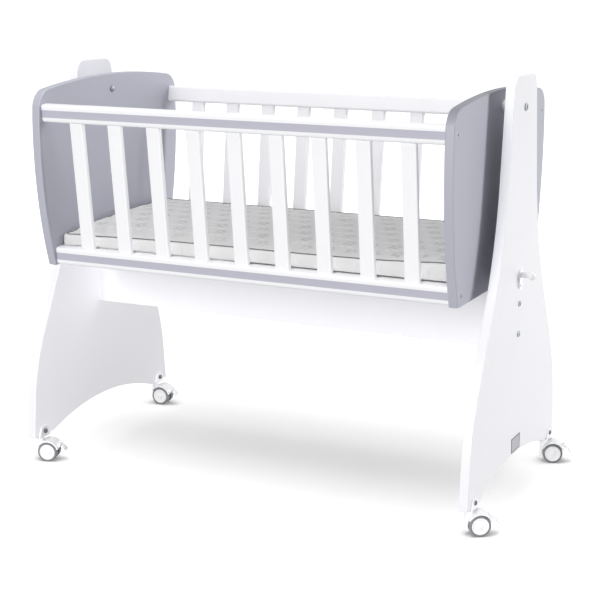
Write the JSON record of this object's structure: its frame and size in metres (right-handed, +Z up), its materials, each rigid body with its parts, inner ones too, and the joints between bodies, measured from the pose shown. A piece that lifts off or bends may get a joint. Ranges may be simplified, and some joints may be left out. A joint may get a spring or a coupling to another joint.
{
  "type": "swinging cradle on stand",
  "caption": "Slatted baby cradle with a mattress, hung between two S-curved stand ends on braked swivel casters; it swings about two end pivots.",
  "frame": {"origin": "on the floor, midway between the four caster stems and under the middle of the cradle", "axes": "+X along the cradle towards the end with the swing lock, +Y from front to back, +Z up"},
  "size_m": [1, 0.512, 0.803],
  "materials": {
    "white_paint": "satin paint",
    "grey_paint": "satin paint",
    "stripe_grey": "satin paint",
    "beech": "bare",
    "dark_metal": "black zinc",
    "bright_metal": "zinc plated",
    "white_plastic": "moulded",
    "tyre_grey": "matt",
    "ticking": "printed cotton"
  },
  "bodies": {
    "stand": {"stand_end_left": "white_paint", "stand_end_right": "white_paint", "stretcher_board": "white_paint", "stretcher_bolts": "dark_metal", "stretcher_barrel_nuts": "bright_metal", "pivot_bushes": "white_plastic", "lock_plate": "bright_metal", "lock_plate_screw": "bright_metal", "lock_bush": "white_plastic", "caster_brackets": "white_plastic", "caster_bolts": "dark_metal", "caster_nuts": "dark_metal", "caster_stems": "bright_metal"},
    "cradle": {"cradle_end_left": "grey_paint", "cradle_end_right": "grey_paint", "front_top_rail": "white_paint", "front_bottom_rail": "white_paint", "rear_top_rail": "white_paint", "rear_bottom_rail": "white_paint", "rail_stripes": "stripe_grey", "front_slats": "white_paint", "rear_slats": "white_paint", "rail_screws": "bright_metal", "rail_dowels": "beech", "base_board": "white_paint", "base_battens": "beech", "end_battens": "beech", "mattress": "ticking", "pivot_bolts": "dark_metal", "pivot_nuts": "bright_metal", "pivot_spacers": "white_plastic", "lock_keeper": "white_plastic"},
    "swing_lock": {"lock_pin": "bright_metal", "lock_knob": "white_plastic"},
    "caster_front_left": {"caster_hood_front_left": "white_plastic", "caster_axle_front_left": "bright_metal"},
    "brake_front_left": {"brake_lever_front_left": "white_plastic"},
    "wheels_front_left": {"wheel_hubs_front_left": "white_plastic", "tyres_front_left": "tyre_grey"},
    "caster_front_right": {"caster_hood_front_right": "white_plastic", "caster_axle_front_right": "bright_metal"},
    "brake_front_right": {"brake_lever_front_right": "white_plastic"},
    "wheels_front_right": {"wheel_hubs_front_right": "white_plastic", "tyres_front_right": "tyre_grey"},
    "caster_rear_left": {"caster_hood_rear_left": "white_plastic", "caster_axle_rear_left": "bright_metal"},
    "brake_rear_left": {"brake_lever_rear_left": "white_plastic"},
    "wheels_rear_left": {"wheel_hubs_rear_left": "white_plastic", "tyres_rear_left": "tyre_grey"},
    "caster_rear_right": {"caster_hood_rear_right": "white_plastic", "caster_axle_rear_right": "bright_metal"},
    "brake_rear_right": {"brake_lever_rear_right": "white_plastic"},
    "wheels_rear_right": {"wheel_hubs_rear_right": "white_plastic", "tyres_rear_right": "tyre_grey"}
  },
  "joints": [
    {"name": "cradle_swing", "type": "hinge", "parent": "stand", "child": "cradle", "pos_m": [0, 0, 0.745], "axis": [1, 0, 0], "range_deg": [-10, 10]},
    {"name": "lock_pull", "type": "slide", "parent": "stand", "child": "swing_lock", "axis": [1, 0, 0], "range_m": [0, 0.004], "stiffness_N_per_m": 400},
    {"name": "swivel_front_left", "type": "hinge", "parent": "stand", "child": "caster_front_left", "pos_m": [-0.466, -0.224, 0.0476], "axis": [0, 0, 1], "continuous": true},
    {"name": "roll_front_left", "type": "hinge", "parent": "caster_front_left", "child": "wheels_front_left", "pos_m": [-0.44879, -0.21874, 0.02], "axis": [-0.2924, 0.9563, 0], "continuous": true},
    {"name": "brake_front_left_press", "type": "hinge", "parent": "caster_front_left", "child": "brake_front_left", "pos_m": [-0.42648, -0.21192, 0.03457], "axis": [-0.2924, 0.9563, 0], "range_deg": [0, 20]},
    {"name": "swivel_front_right", "type": "hinge", "parent": "stand", "child": "caster_front_right", "pos_m": [0.466, -0.224, 0.0476], "axis": [0, 0, 1], "continuous": true},
    {"name": "roll_front_right", "type": "hinge", "parent": "caster_front_right", "child": "wheels_front_right", "pos_m": [0.48092, -0.21393, 0.02], "axis": [-0.5592, 0.829, 0], "continuous": true},
    {"name": "brake_front_right_press", "type": "hinge", "parent": "caster_front_right", "child": "brake_front_right", "pos_m": [0.50026, -0.20089, 0.03457], "axis": [-0.5592, 0.829, 0], "range_deg": [0, 20]},
    {"name": "swivel_rear_left", "type": "hinge", "parent": "stand", "child": "caster_rear_left", "pos_m": [-0.466, 0.224, 0.0476], "axis": [0, 0, 1], "continuous": true},
    {"name": "roll_rear_left", "type": "hinge", "parent": "caster_rear_left", "child": "wheels_rear_left", "pos_m": [-0.4481, 0.22588, 0.02], "axis": [-0.1045, 0.9945, 0], "continuous": true},
    {"name": "brake_rear_left_press", "type": "hinge", "parent": "caster_rear_left", "child": "brake_rear_left", "pos_m": [-0.4249, 0.22832, 0.03457], "axis": [-0.1045, 0.9945, 0], "range_deg": [0, 20]},
    {"name": "swivel_rear_right", "type": "hinge", "parent": "stand", "child": "caster_rear_right", "pos_m": [0.466, 0.224, 0.0476], "axis": [0, 0, 1], "continuous": true},
    {"name": "roll_rear_right", "type": "hinge", "parent": "caster_rear_right", "child": "wheels_rear_right", "pos_m": [0.4828, 0.23045, 0.02], "axis": [-0.3584, 0.9336, 0], "continuous": true},
    {"name": "brake_rear_right_press", "type": "hinge", "parent": "caster_rear_right", "child": "brake_rear_right", "pos_m": [0.50458, 0.23881, 0.03457], "axis": [-0.3584, 0.9336, 0], "range_deg": [0, 20]}
  ]
}
